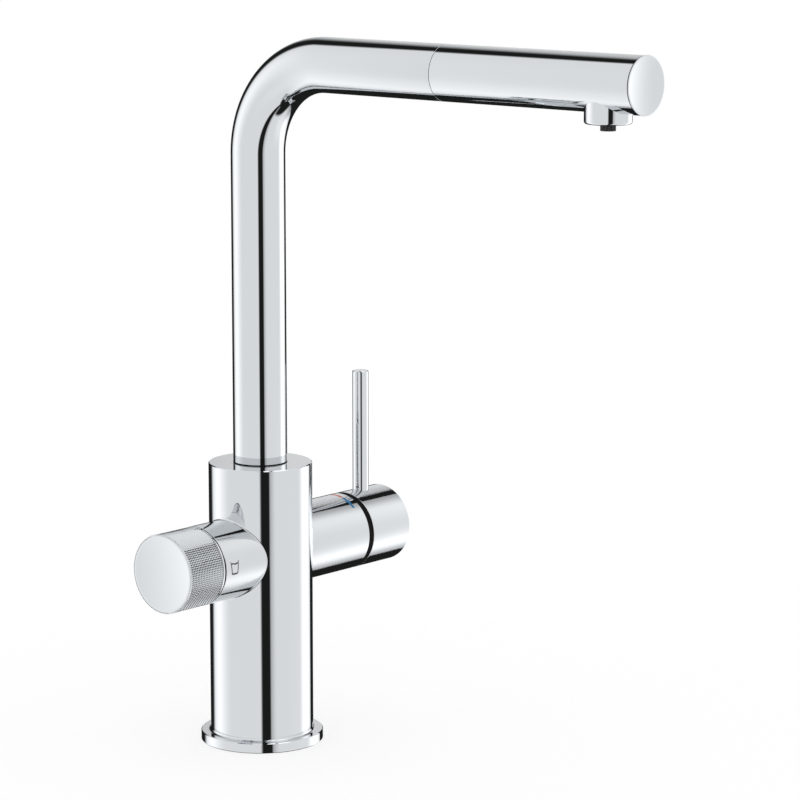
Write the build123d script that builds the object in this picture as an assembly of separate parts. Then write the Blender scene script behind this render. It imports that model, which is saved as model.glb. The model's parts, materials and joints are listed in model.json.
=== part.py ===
from build123d import *
import math
import os

# Kitchen tap with a mixer lever on one side and a filtered-water knob on the other.
# Millimetres. +Z is up, the origin is on the body axis at worktop level, the spout points to -Y,
# the filter knob stands on -X and the mixer lever on +X.

# Base and body
flange_d = 59.4
flange_h = 4.9
flange_edge = 0.35
gasket_inset = 1.7
gasket_width = 4.0
gasket_h = 1.0
body_d = 50.0
body_wall = 3.0
body_top_z = 137.5
body_plate_h = 8.0
body_edge = 0.4

# Threaded bush that takes the fixing shank, and the manifold above it
shank_thread_d = 32.0
shank_thread_length = 18.0
bush_neck_wall = 2.0
manifold_h = 14.0
port_thread_d = 8.0
port_thread_depth = 10.0
port_waterway_d = 4.0
hose_port_lip = 0.5
port_angles = {"mixed_out": 0, "hot_in": 72, "filter_in": 144, "filter_out": 216, "cold_in": 288}
riser_d = 6.0
riser_wall = 1.0
riser_socket = 3.0
m3_d = 3.0
m3_head_d = 5.2
m3_head_h = 2.0
m3_reach = 6.0
m3_hole_spare = 1.0
hex_key_share = 0.4
hex_depth_share = 0.6
manifold_screw_count = 3
manifold_screw_edge = 3.0
manifold_screw_start = 36.0

# Waterway core, a brass block across the middle of the body
side_axis_z = 93.5
core_bottom_z = 70.0
core_top_z = 118.0
core_seat = 16.0
core_drilling_d = 3.6
mixed_drilling_drop = 9.5
hose_room = 0.8

# Parts that both sides share
side_d = 38.0
side_wall = 3.0
nipple_gap = 0.2
edge_break = 0.3

# Mixer side, measured outwards from the body axis along +X
housing_end = 58.6
mixer_nipple_wall = 2.8
mixer_nipple_end = 52.0
cartridge_end = 44.0
rotor_start = 30.2
rotor_bore_wall = 2.95
rotor_shoulder = 1.5
rotor_end = 50.0
disc_start = 22.0
disc_h = 3.9
disc_pocket_wall = 2.4
cartridge_nut_end = 49.0
cartridge_inlet_d = 2.2
cartridge_inlet_wall = 1.2
nut_notches = 6
nut_notch_width = 3.0
nut_notch_depth = 2.0
shadow_ring_end = 60.6
shadow_ring_web = 1.8
shadow_ring_hole_d = 17.0
shadow_ring_wall = 3.45
pivot_x = 42.0
pivot_pin_d = 2.5
pivot_pin_inset = 0.5
stem_width = 5.0
stem_height = 7.0
stem_start = 35.0
stem_end = 80.0
slot_height = 11.0
slot_floor = 34.0
cap_start = 62.1
cap_end = 89.0
cap_wall = 2.2
cap_end_wall = 2.5
adapter_start = 67.0
rod_x = 73.4
rod_d = 8.0
rod_top_z = 172.7
rod_thread_d = 5.0
rod_thread_depth = 9.0
grub_d = 4.0
grub_key_d = 2.0
mark_x = 53.9
mark_width = 0.8
mark_split_angle = 75.0
mark_gap_angle = 2.0
mark_sweep = 26.0
mark_depth = 0.15

# Filter side, measured outwards from the body axis along -X
sleeve_end = 44.4
knob_gap = 0.5
valve_nipple_wall = 3.8
valve_nipple_end = 42.0
valve_end = 36.0
valve_neck_end = 44.0
valve_nut_end = 41.0
valve_nut_width = 4.9
guide_ring_end = 46.8
guide_ring_wall = 3.45
spindle_d = 8.04
spindle_start = 30.0
spindle_end = 58.0
spline_start = 47.4
spline_teeth = 20
spline_depth = 0.3
clip_d = 12.0
clip_h = 0.8
clip_groove_depth = 0.4
clip_opening = 4.0
clip_offset = 0.3
knob_end = 68.0
knob_bevel = 1.3
knob_rear_band = 1.3
knob_front_band = 2.1
knurl_teeth = 90
knurl_depth = 0.3
knob_wall = 2.7
knob_floor = 62.0
hub_d = 14.0
hub_start = 47.6
face_h = 2.0
m4_d = 4.0
m4_head_d = 7.0
m4_head_h = 2.5
m4_reach = 8.0
m4_tip_gap = 1.0
glass_x = -38.3
glass_rise = 0.9
glass_height = 6.1
glass_top_width = 5.6
glass_foot_width = 4.2
glass_line = 0.5
glass_water_drop = 1.1

# Spout, measured outwards from the body axis along -Y where it is level
spout_d = 26.0
spout_wall = 1.5
spout_axis_z = 330.4
bend_r = 44.0
spout_end = 116.4
washer_h = 0.5
journal_wall = 2.9
journal_bottom_z = 118.6
journal_in_spout = 30.0
bush_wall = 2.6
bush_flange_width = 2.0
bush_flange_h = 2.0
clip_ring_width = 2.1
clip_ring_h = 1.5
clip_groove_in_journal = 1.2
o_ring_section_d = 1.7
o_ring_drops = (3.5, 7.5)
swivel_limit = 75.0
stop_ring_h = 5.5
stop_ring_gap = 0.6
stop_window_spare = 0.6
stop_key_width = 4.0
stop_key_inset = 5.5
stop_key_h = 3.0
stop_spare_angle = 1.0
stop_screw_edge = 2.4
stop_screw_count = 2
stop_screw_step = 60.0
spout_side_angle = 270.0
stop_screw_head_d = 4.4
stop_screw_head_h = 1.5
clip_ring_opening = 6.8
dock_start = 92.0
dock_wall = 2.45

# Pull-out hose with the filtered-water line inside it
hose_d = 11.0
hose_wall = 1.6
line_d = 4.8
line_wall = 0.8
hose_split = 60.0
hose_end = 122.0

# Pull-out head
head_seam = 0.3
head_end = 227.7
end_disc_lip = 0.2
end_disc_h = 0.8
end_plug_h = 6.0
spigot_start = 98.0
spigot_room = 0.6
spigot_flange_h = 6.0
dock_ring_at = 104.8
connector_wall = 1.45
connector_start = 118.0
connector_end = 130.0
valve_body_wall = 3.35
valve_body_length = 12.0
waterway_offset = 4.8
outlet_y = 207.4
collar_d = 21.2
collar_wall = 1.8
collar_bottom_z = 312.8
collar_top_z = 326.0
collar_round = 1.2
aerator_recess = 0.6
aerator_h = 6.6
jet_inner_margin = 1.65
jet_outer_margin = 1.75
jet_counts = (12, 18)
jet_d = 1.0
nozzle_d = 6.9
nozzle_bore_d = 3.0
nozzle_bottom_z = 309.8
nozzle_ribs = 12
nozzle_rib_d = 0.7

# Clearances
fit_gap = 0.05
run_gap = 0.08
free_gap = 0.3
seam_gap = 0.1
overcut = 1.0

# Values worked out from the sizes above
body_r = body_d / 2
body_bore_r = body_r - body_wall
core_r = body_bore_r - 2 * fit_gap
gasket_outer_d = flange_d - 2 * gasket_inset
gasket_inner_d = gasket_outer_d - 2 * gasket_width
bush_neck_d = shank_thread_d + 2 * bush_neck_wall
manifold_screw_pitch_r = body_bore_r - manifold_screw_edge
riser_bore_d = riser_d - 2 * riser_wall
side_r = side_d / 2
side_bore_r = side_r - side_wall
side_bore_d = 2 * side_bore_r
nipple_d = 2 * (side_bore_r - nipple_gap)
mixer_nipple_bore_d = nipple_d - 2 * mixer_nipple_wall
valve_nipple_bore_d = nipple_d - 2 * valve_nipple_wall
valve_neck_d = valve_nipple_bore_d - 2 * valve_nut_width - 4 * fit_gap
cartridge_d = mixer_nipple_bore_d - 2 * fit_gap
rotor_bore_d = cartridge_d - 2 * rotor_bore_wall
rotor_neck_d = rotor_bore_d - 2 * rotor_shoulder
pivot_pin_length = rotor_neck_d - 2 * pivot_pin_inset
disc_d = cartridge_d - 2 * disc_pocket_wall - 2 * fit_gap
cartridge_inlet_y = cartridge_d / 2 - cartridge_inlet_wall - cartridge_inlet_d / 2
port_pitch_r = cartridge_inlet_y / math.sin(math.radians(port_angles["hot_in"]))
shadow_ring_bore_d = 2 * (side_bore_r - fit_gap - shadow_ring_wall)
guide_ring_bore_d = 2 * (side_bore_r - fit_gap - guide_ring_wall)
knob_cavity_d = side_d - 2 * knob_wall
spout_r = spout_d / 2
spout_bore_r = spout_r - spout_wall
journal_r = spout_bore_r - seam_gap
journal_d = 2 * journal_r
journal_bore_d = journal_d - 2 * journal_wall
bush_d = journal_d + 2 * bush_wall
bush_flange_d = bush_d + 2 * bush_flange_width
clip_ring_d = journal_d + 2 * clip_ring_width
clip_groove_d = journal_d - 2 * clip_groove_in_journal
stop_ring_bore_d = journal_d + 2 * stop_ring_gap
stop_key_reach = core_r - stop_key_inset
stop_window_d = 2 * (stop_key_reach + stop_window_spare)
stop_screw_pitch_r = core_r - stop_screw_edge
dock_bore_d = 2 * (spout_bore_r - fit_gap - dock_wall)
hose_bore_d = hose_d - 2 * hose_wall
line_bore_d = line_d - 2 * line_wall
hose_port_d = hose_d - 2 * hose_port_lip
core_hose_hole_d = hose_d + 2 * hose_room
end_disc_d = spout_d + 2 * end_disc_lip
spigot_bore_d = hose_d + 2 * spigot_room
connector_d = hose_d + 2 * fit_gap + 2 * connector_wall
valve_body_d = line_d + 2 * fit_gap + 2 * valve_body_wall
aerator_r = collar_d / 2 - collar_wall - fit_gap
jet_ring_radii = (nozzle_d / 2 + jet_inner_margin, aerator_r - jet_outer_margin)
knob_start = sleeve_end + knob_gap
manifold_bottom_z = shank_thread_length
manifold_top_z = manifold_bottom_z + manifold_h
spout_bottom_z = body_top_z + washer_h
head_start = spout_end + head_seam

# Frames of the three arms: their local +Z runs outwards along the arm
on_mixer = Pos(0, 0, side_axis_z) * Rot(0, 90, 0)
on_filter = Pos(0, 0, side_axis_z) * Rot(0, -90, 0)
on_spout = Pos(0, 0, spout_axis_z) * Rot(90, 0, 0)
BASE = (Align.CENTER, Align.CENTER, Align.MIN)


def turned(*profile):
    """Solid turned about Z from (radius, height) points."""
    outline = Polyline(*[(radius, 0, height) for radius, height in profile], close=True)
    return revolve(make_face(outline), Axis.Z)


def rod(diameter, start, end):
    """Round bar about Z between two heights."""
    return Pos(0, 0, start) * Cylinder(diameter / 2, end - start, align=BASE)


def tube(outer_d, inner_d, start, end):
    """Round tube about Z between two heights."""
    return rod(outer_d, start, end) - rod(inner_d, start, end)


def at_polar(radius, angle):
    """Place on a circle about Z."""
    return Pos(radius * math.cos(math.radians(angle)), radius * math.sin(math.radians(angle)), 0)


def write(name, shape):
    """Write one sub-part."""
    export_step(shape, "parts/" + name + ".step")


def screw(diameter, head_d, head_h, reach, under_head):
    """Cap screw that points down, with a hexagon socket in its head."""
    body = rod(diameter, under_head - reach, under_head) + rod(head_d, under_head, under_head + head_h)
    socket_h = head_h * hex_depth_share
    socket = extrude(RegularPolygon(diameter * hex_key_share, 6), socket_h)
    return body - Pos(0, 0, under_head + head_h - socket_h) * socket


def side_plane(axial, angle):
    """Plane on the side cylinders' surface, angle counted from -Y towards +Z."""
    turn = math.radians(angle)
    origin = (axial, -side_r * math.cos(turn), side_axis_z + side_r * math.sin(turn))
    return Plane(origin=origin, x_dir=(1, 0, 0), z_dir=(0, -math.cos(turn), math.sin(turn)))


# Base flange, its gasket and the threaded bush
def base_flange():
    radius = flange_d / 2
    bore = bush_neck_d / 2 + fit_gap
    ring = turned(
        (bore, 0),
        (radius - flange_edge, 0),
        (radius, flange_edge),
        (radius, flange_h - flange_edge),
        (radius - flange_edge, flange_h),
        (bore, flange_h),
    )
    groove = tube(gasket_outer_d + 2 * fit_gap, gasket_inner_d - 2 * fit_gap, 0, gasket_h + fit_gap)
    return ring - groove


def base_gasket():
    return tube(gasket_outer_d, gasket_inner_d, 0, gasket_h)


def manifold_screw_places():
    step = 360 / manifold_screw_count
    angles = [manifold_screw_start + step * index for index in range(manifold_screw_count)]
    return [at_polar(manifold_screw_pitch_r, angle) for angle in angles]


def mounting_bush():
    bore = shank_thread_d / 2
    neck = bush_neck_d / 2
    outer = body_bore_r - fit_gap
    bush = turned(
        (bore, 0),
        (neck, 0),
        (neck, flange_h),
        (outer, flange_h),
        (outer, shank_thread_length),
        (bore, shank_thread_length),
    )
    hole = rod(m3_d + 2 * fit_gap, shank_thread_length - m3_reach - m3_hole_spare, shank_thread_length)
    for place in manifold_screw_places():
        bush -= place * hole
    return bush


def inlet_manifold():
    disc = rod(2 * (body_bore_r - fit_gap), manifold_bottom_z, manifold_top_z)
    thread_top_z = manifold_bottom_z + port_thread_depth
    port = rod(port_thread_d, manifold_bottom_z, thread_top_z)
    port += rod(port_waterway_d, thread_top_z, manifold_top_z)
    port += rod(riser_d + 2 * fit_gap, manifold_top_z - riser_socket, manifold_top_z)
    for angle in port_angles.values():
        disc -= at_polar(port_pitch_r, angle) * port
    disc -= rod(hose_port_d, manifold_bottom_z, manifold_top_z)
    disc -= rod(hose_d + 2 * fit_gap, manifold_top_z - riser_socket, manifold_top_z)
    hole = rod(m3_d + 4 * fit_gap, manifold_bottom_z, manifold_top_z)
    for place in manifold_screw_places():
        disc -= place * hole
    return disc


def manifold_screws():
    one = screw(m3_d, m3_head_d, m3_head_h, manifold_h + m3_reach, manifold_top_z)
    return Compound([place * one for place in manifold_screw_places()])


def water_risers():
    one = tube(riser_d, riser_bore_d, manifold_top_z - riser_socket, core_bottom_z + riser_socket)
    return Compound([at_polar(port_pitch_r, angle) * one for angle in port_angles.values()])


def waterway_core():
    core = rod(2 * core_r, core_bottom_z, core_top_z)
    core -= rod(core_hose_hole_d, core_bottom_z, core_top_z)
    core -= on_mixer * rod(nipple_d + 2 * fit_gap, core_seat, body_r)
    core -= on_filter * rod(nipple_d + 2 * fit_gap, core_seat, body_r)
    for name, angle in port_angles.items():
        place = at_polar(port_pitch_r, angle)
        drop = mixed_drilling_drop if name == "mixed_out" else 0
        meet_z = side_axis_z - drop
        core -= place * rod(riser_d + 2 * fit_gap, core_bottom_z, core_bottom_z + riser_socket)
        core -= place * rod(riser_bore_d, core_bottom_z, meet_z + riser_bore_d / 2)
        x, y = place.position.X, place.position.Y
        arm = Pos(0, y, meet_z) * Rot(0, -90 if name.startswith("filter") else 90, 0)
        core -= arm * rod(core_drilling_d, abs(x), core_seat + fit_gap)
    for place in stop_screw_places():
        core -= place * rod(m3_d + 2 * fit_gap, core_top_z - m3_reach - m3_hole_spare, core_top_z)
    return core


def body_shell():
    plate_z = body_top_z - body_plate_h
    mouth = bush_d / 2 + fit_gap
    shell = turned(
        (body_bore_r, flange_h),
        (body_r - body_edge, flange_h),
        (body_r, flange_h + body_edge),
        (body_r, body_top_z - body_edge),
        (body_r - body_edge, body_top_z),
        (mouth, body_top_z),
        (mouth, plate_z),
        (body_bore_r, plate_z),
    )
    shell -= on_mixer * rod(nipple_d + 2 * fit_gap, 0, body_r + overcut)
    shell -= on_filter * rod(nipple_d + 2 * fit_gap, 0, body_r + overcut)
    return shell


# Mixer side
def side_cover(end):
    """Chrome cover of one side arm, before it is cut to lie on the body."""
    return turned(
        (side_bore_r, 0),
        (side_r, 0),
        (side_r, end - edge_break),
        (side_r - edge_break, end),
        (side_bore_r, end),
    )


def body_clearance():
    return rod(body_d + 2 * seam_gap, 0, body_top_z)


def arc_mark(from_angle, to_angle, gap):
    """Inlay that runs round the housing between two angles, counted from -Y towards +Z."""
    half = mark_width / 2 + gap
    start = side_plane(mark_x, from_angle - math.degrees(gap / side_r))
    depth = mark_depth + gap
    strip = start * Pos(0, 0, -depth / 2) * Box(2 * half, 0.001, depth)
    face = strip.faces().sort_by(Axis((0, 0, 0), tuple(start.y_dir)))[-1]
    sweep_angle = to_angle - from_angle + 2 * math.degrees(gap / side_r)
    return revolve(face, Axis((0, 0, side_axis_z), (-1, 0, 0)), sweep_angle)


def cold_mark(gap=0.0):
    end = mark_split_angle - mark_gap_angle / 2
    return arc_mark(end - mark_sweep, end, gap)


def hot_mark(gap=0.0):
    start = mark_split_angle + mark_gap_angle / 2
    return arc_mark(start, start + mark_sweep, gap)


def mixer_housing():
    housing = on_mixer * side_cover(housing_end) - body_clearance()
    return housing - cold_mark(fit_gap) - hot_mark(fit_gap)


def cartridge_nipple():
    return on_mixer * tube(nipple_d, mixer_nipple_bore_d, core_seat + fit_gap, mixer_nipple_end)


def cartridge_body():
    start = core_seat + fit_gap
    shell = rod(cartridge_d, start, cartridge_end)
    shell -= rod(rotor_bore_d, rotor_start - free_gap, cartridge_end)
    shell -= rod(disc_d + 2 * fit_gap, disc_start, rotor_start)
    for y in (-cartridge_inlet_y, cartridge_inlet_y):
        shell -= Pos(0, y, 0) * rod(cartridge_inlet_d, start, disc_start)
    shell -= Pos(mixed_drilling_drop, 0, 0) * rod(core_drilling_d, start, disc_start)
    return on_mixer * shell


def ceramic_discs():
    upper_start = disc_start + disc_h + fit_gap
    lower = rod(disc_d, disc_start, disc_start + disc_h) - Pos(mixed_drilling_drop / 2, 0, 0) * rod(
        core_drilling_d, disc_start, disc_start + disc_h
    )
    upper = rod(disc_d, upper_start, upper_start + disc_h)
    return on_mixer * Compound([lower, upper])


def notched_nut(outer_d, inner_d, start, end):
    """Ring nut with notches for a pin spanner in its outer face."""
    nut = tube(outer_d, inner_d, start, end)
    notch = Pos(outer_d / 2, 0, end) * Box(2 * nut_notch_depth, nut_notch_width, 2 * nut_notch_depth)
    for index in range(nut_notches):
        nut -= Rot(0, 0, 360 * index / nut_notches) * notch
    return nut


def cartridge_nut():
    outer_d = mixer_nipple_bore_d - 2 * fit_gap
    return on_mixer * notched_nut(outer_d, rotor_neck_d + 2 * run_gap, cartridge_end, cartridge_nut_end)


def shadow_ring():
    outer = side_bore_r - fit_gap
    web_start = shadow_ring_end - shadow_ring_web
    ring = turned(
        (shadow_ring_bore_d / 2, mixer_nipple_end),
        (outer, mixer_nipple_end),
        (outer, shadow_ring_end - edge_break),
        (outer - edge_break, shadow_ring_end),
        (shadow_ring_hole_d / 2, shadow_ring_end),
        (shadow_ring_hole_d / 2, web_start),
        (shadow_ring_bore_d / 2, web_start),
    )
    return on_mixer * ring


def across(diameter, length, axial):
    """Bar across the mixer arm, along Y."""
    return Pos(0, 0, axial) * Rot(90, 0, 0) * rod(diameter, -length / 2, length / 2)


def cartridge_rotor():
    shoulder_end = cartridge_end - free_gap
    rotor = rod(rotor_bore_d - 2 * run_gap, rotor_start, shoulder_end)
    rotor += rod(rotor_neck_d, shoulder_end, rotor_end)
    slot_length = rotor_end - slot_floor
    slot = Box(slot_height, stem_width + 2 * run_gap, slot_length, align=BASE)
    rotor -= Pos(0, 0, slot_floor) * slot
    rotor -= across(pivot_pin_d + 2 * fit_gap, rotor_bore_d, pivot_x)
    return on_mixer * rotor


def lever_stem():
    stem = Pos(0, 0, stem_start) * Box(stem_height, stem_width, stem_end - stem_start, align=BASE)
    return on_mixer * (stem - across(pivot_pin_d, stem_width, pivot_x))


def lever_pin():
    return on_mixer * across(pivot_pin_d, pivot_pin_length, pivot_x)


def rod_socket(diameter):
    """Upright hole over the lever's axis, from the adapter to above the cap."""
    return Pos(rod_x, 0, 0) * rod(diameter, side_axis_z, side_axis_z + side_r + overcut)


def grub_hole(diameter):
    return Pos(rod_x, 0, 0) * rod(diameter, side_axis_z - side_r - overcut, side_axis_z)


def lever_adapter():
    radius = side_r - cap_wall - fit_gap
    end = cap_end - cap_end_wall - fit_gap
    hub = rod(2 * radius, adapter_start, end)
    stem = Box(stem_height + 2 * fit_gap, stem_width + 2 * fit_gap, stem_end + fit_gap, align=BASE)
    hub = on_mixer * (hub - stem)
    return hub - rod_socket(rod_thread_d + 2 * fit_gap) - grub_hole(grub_d + 2 * fit_gap)


def lever_cap():
    bore = side_r - cap_wall
    floor = cap_end - cap_end_wall
    cap = turned(
        (bore, cap_start),
        (side_r - edge_break, cap_start),
        (side_r, cap_start + edge_break),
        (side_r, cap_end - edge_break),
        (side_r - edge_break, cap_end),
        (0, cap_end),
        (0, floor),
        (bore, floor),
    )
    return on_mixer * cap - rod_socket(rod_d + 2 * fit_gap) - grub_hole(grub_d + 4 * fit_gap)


def lever_rod():
    seat_z = side_axis_z + side_r - cap_wall
    upper = turned(
        (0, seat_z),
        (rod_d / 2, seat_z),
        (rod_d / 2, rod_top_z - edge_break),
        (rod_d / 2 - edge_break, rod_top_z),
        (0, rod_top_z),
    )
    return Pos(rod_x, 0, 0) * (upper + rod(rod_thread_d, seat_z - rod_thread_depth, seat_z))


def grub_screw():
    top_z = side_axis_z - stem_height / 2 - fit_gap
    bottom_z = side_axis_z - side_r + cap_wall
    screw_body = rod(grub_d, bottom_z, top_z)
    socket = extrude(RegularPolygon(grub_key_d / 2, 6), grub_d / 2)
    return Pos(rod_x, 0, 0) * (screw_body - Pos(0, 0, bottom_z) * socket)


# Filter side
def glass_outline():
    """Drinking-glass sign, open at the top, with a water line."""
    half = glass_height / 2
    outer = make_face(
        Polyline(
            (-glass_top_width / 2, half),
            (-glass_foot_width / 2, -half),
            (glass_foot_width / 2, -half),
            (glass_top_width / 2, half),
            close=True,
        )
    )
    inner_top = glass_top_width / 2 - glass_line
    inner_foot = glass_foot_width / 2 - glass_line
    inner = make_face(
        Polyline(
            (-inner_top, half),
            (-inner_foot, -half + glass_line),
            (inner_foot, -half + glass_line),
            (inner_top, half),
            close=True,
        )
    )
    water = Pos(0, half - glass_water_drop) * Rectangle(2 * inner_top, glass_line)
    return (outer - inner) + (water & outer)


def glass_mark(gap=0.0):
    """The sign, laid into the sleeve's surface."""
    angle = math.degrees(glass_rise / side_r)
    plate = extrude(side_plane(glass_x, angle) * glass_outline(), side_r / 4, both=True)
    skin = on_filter * tube(side_d, side_d - 2 * (mark_depth + gap), core_seat, sleeve_end)
    return plate & skin


def filter_sleeve():
    sleeve = on_filter * side_cover(sleeve_end) - body_clearance()
    return sleeve - glass_mark(fit_gap)


def valve_nipple():
    return on_filter * tube(nipple_d, valve_nipple_bore_d, core_seat + fit_gap, valve_nipple_end)


def filter_valve():
    start = core_seat + fit_gap
    valve = rod(valve_nipple_bore_d - 2 * fit_gap, start, valve_end)
    valve += rod(valve_neck_d, valve_end, valve_neck_end)
    valve -= rod(spindle_d + 2 * run_gap, spindle_start - free_gap, valve_neck_end)
    for y in (-1, 1):
        reach = port_pitch_r * math.sin(math.radians(port_angles["filter_in"]))
        valve -= Pos(0, y * reach, 0) * rod(core_drilling_d, start, spindle_start - core_drilling_d)
    return on_filter * valve


def valve_nut():
    outer_d = valve_nipple_bore_d - 2 * fit_gap
    return on_filter * notched_nut(outer_d, valve_neck_d + 2 * fit_gap, valve_end, valve_nut_end)


def knob_guide_ring():
    outer_d = side_bore_d - 2 * fit_gap
    return on_filter * tube(outer_d, guide_ring_bore_d, valve_nipple_end, guide_ring_end)


def serrated(teeth, outer_r, depth, start, end):
    """Bar about Z with pointed teeth round it."""
    points = []
    for index in range(2 * teeth):
        radius = outer_r if index % 2 == 0 else outer_r - depth
        angle = math.pi * index / teeth
        points.append((radius * math.cos(angle), radius * math.sin(angle)))
    return Pos(0, 0, start) * extrude(make_face(Polyline(*points, close=True)), end - start)


def valve_spindle():
    spindle = rod(spindle_d, spindle_start, spline_start)
    spindle += serrated(spline_teeth, spindle_d / 2, spline_depth, spline_start, spindle_end)
    spindle -= rod(m4_d + 2 * fit_gap, spindle_end - m4_reach, spindle_end)
    clip_start = valve_neck_end + clip_offset
    spindle -= tube(spindle_d, spindle_d - 2 * clip_groove_depth, clip_start, clip_start + clip_h)
    return on_filter * spindle


def spindle_clip():
    clip_start = valve_neck_end + clip_offset
    ring = tube(clip_d, spindle_d - 2 * clip_groove_depth, clip_start, clip_start + clip_h)
    opening = Pos(clip_d / 2, 0, clip_start) * Box(clip_d, clip_opening, clip_h, align=BASE)
    return on_filter * (ring - opening)


def filter_knob():
    band_start = knob_start + knob_rear_band
    band_end = knob_end - knob_front_band
    rear = turned(
        (0, knob_start),
        (side_r - edge_break, knob_start),
        (side_r, knob_start + edge_break),
        (side_r, band_start),
        (0, band_start),
    )
    front = turned(
        (0, band_end),
        (side_r, band_end),
        (side_r, knob_end - knob_bevel),
        (side_r - knob_bevel, knob_end),
        (0, knob_end),
    )
    knob = rear + serrated(knurl_teeth, side_r, knurl_depth, band_start, band_end) + front
    knob -= rod(2 * (side_r - knob_bevel - fit_gap), knob_end - face_h, knob_end)
    knob -= tube(knob_cavity_d, hub_d, knob_start, knob_floor)
    knob -= rod(hub_d, knob_start, hub_start)
    knob -= rod(spindle_d + 2 * fit_gap, hub_start, spindle_end + fit_gap)
    knob -= rod(m4_d + 4 * fit_gap, spindle_end, knob_end)
    knob -= rod(m4_head_d + 4 * fit_gap, knob_floor, knob_end)
    return on_filter * knob


def knob_screw():
    reach = knob_floor - spindle_end + m4_reach - m4_tip_gap
    return on_filter * screw(m4_d, m4_head_d, m4_head_h, reach, knob_floor)


def knob_face():
    return on_filter * rod(2 * (side_r - knob_bevel - 2 * fit_gap), knob_end - face_h + fit_gap, knob_end)


# Spout and its bearing
def spout_path(start_z, end):
    corner = (0, 0, spout_axis_z)
    return FilletPolyline((0, 0, start_z), corner, (0, -end, spout_axis_z), radius=bend_r)


def swept(diameter, start_z, end):
    """Round bar that follows the spout's line."""
    section = Plane(origin=(0, 0, start_z), z_dir=(0, 0, 1)) * Circle(diameter / 2)
    return sweep(section, path=spout_path(start_z, end))


def spout_tube():
    return swept(spout_d, spout_bottom_z, spout_end) - swept(2 * spout_bore_r, spout_bottom_z, spout_end)


def o_ring_heights():
    return [body_top_z - drop for drop in o_ring_drops]


def clip_ring_top_z():
    return body_top_z - body_plate_h - bush_flange_h - seam_gap


def spout_journal():
    top_z = spout_bottom_z + journal_in_spout
    journal = tube(journal_d, journal_bore_d, journal_bottom_z, top_z)
    for height in o_ring_heights():
        groove_d = journal_d - 2 * o_ring_section_d - 2 * fit_gap
        half = o_ring_section_d / 2 + fit_gap
        journal -= tube(journal_d, groove_d, height - half, height + half)
    clip_top = clip_ring_top_z()
    journal -= tube(journal_d, clip_groove_d, clip_top - clip_ring_h, clip_top)
    key_z = core_top_z + (stop_ring_h - stop_key_h) / 2
    slot = Box(stop_key_width, stop_key_reach, stop_key_h, align=(Align.CENTER, Align.MIN, Align.MIN))
    return journal - Pos(0, 0, key_z) * slot


def spout_o_rings():
    radius = journal_r - o_ring_section_d / 2
    ring = Torus(radius, o_ring_section_d / 2)
    return Compound([Pos(0, 0, height) * ring for height in o_ring_heights()])


def clip_ring():
    top_z = clip_ring_top_z()
    ring = tube(clip_ring_d, clip_groove_d + 2 * fit_gap, top_z - clip_ring_h, top_z)
    opening = Box(clip_ring_opening, clip_ring_d, clip_ring_h, align=(Align.CENTER, Align.MAX, Align.MAX))
    return ring - Pos(0, 0, top_z) * opening


def stop_key():
    key_z = core_top_z + (stop_ring_h - stop_key_h) / 2
    inner = journal_bore_d / 2 + seam_gap
    key = Box(
        stop_key_width - 2 * fit_gap,
        stop_key_reach - inner,
        stop_key_h - 2 * fit_gap,
        align=(Align.CENTER, Align.MIN, Align.MIN),
    )
    return Pos(0, inner, key_z + fit_gap) * key


def stop_screw_places():
    start = spout_side_angle - stop_screw_step * (stop_screw_count - 1) / 2
    angles = [start + stop_screw_step * index for index in range(stop_screw_count)]
    return [at_polar(stop_screw_pitch_r, angle) for angle in angles]


def swivel_stop_ring():
    """Ring with a window that lets the key turn between the swivel's limits."""
    top_z = core_top_z + stop_ring_h
    ring = tube(2 * core_r, stop_ring_bore_d, core_top_z, top_z)
    key_half_angle = math.degrees(math.asin(stop_key_width / stop_ring_bore_d))
    half_window = swivel_limit + key_half_angle + stop_spare_angle
    window = Rot(0, 0, 90 - half_window) * Cylinder(
        stop_window_d / 2, stop_ring_h, arc_size=2 * half_window, align=(Align.NONE, Align.NONE, Align.MIN)
    )
    ring -= Pos(0, 0, core_top_z) * window
    for place in stop_screw_places():
        ring -= place * rod(m3_d + 4 * fit_gap, core_top_z, top_z)
    return ring


def stop_screws():
    top_z = core_top_z + stop_ring_h
    one = screw(m3_d, stop_screw_head_d, stop_screw_head_h, stop_ring_h + m3_reach, top_z)
    return Compound([place * one for place in stop_screw_places()])


def swivel_bush():
    plate_z = body_top_z - body_plate_h
    bore = journal_r + run_gap
    bush = turned(
        (bore, plate_z - bush_flange_h),
        (bush_flange_d / 2, plate_z - bush_flange_h),
        (bush_flange_d / 2, plate_z),
        (bush_d / 2, plate_z),
        (bush_d / 2, body_top_z),
        (bore, body_top_z),
    )
    return bush


def swivel_washer():
    return tube(spout_d - 2 * seam_gap, journal_d + 2 * free_gap, body_top_z, spout_bottom_z)


def dock_bush():
    return on_spout * tube(2 * spout_bore_r - 2 * fit_gap, dock_bore_d, dock_start, spout_end)


def hose_riser():
    start_z = manifold_top_z - riser_socket
    return swept(hose_d, start_z, hose_split) - swept(hose_bore_d, start_z, hose_split)


def filter_line_riser():
    start_z = manifold_top_z - riser_socket
    return swept(line_d, start_z, hose_split) - swept(line_bore_d, start_z, hose_split)


def hose_front():
    return on_spout * tube(hose_d, hose_bore_d, hose_split, hose_end)


def filter_line_front():
    line_end = connector_end + fit_gap + valve_body_length
    return on_spout * tube(line_d, line_bore_d, hose_split, line_end)


# Pull-out head
def down_at_outlet(diameter, bottom_z, top_z):
    """Upright bar through the outlet."""
    return Pos(0, -outlet_y, 0) * rod(diameter, bottom_z, top_z)


def head_shell():
    shell = tube(spout_d, 2 * spout_bore_r, head_start, head_end - end_disc_h)
    return on_spout * shell - down_at_outlet(collar_d + 2 * fit_gap, collar_bottom_z, spout_axis_z)


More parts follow.
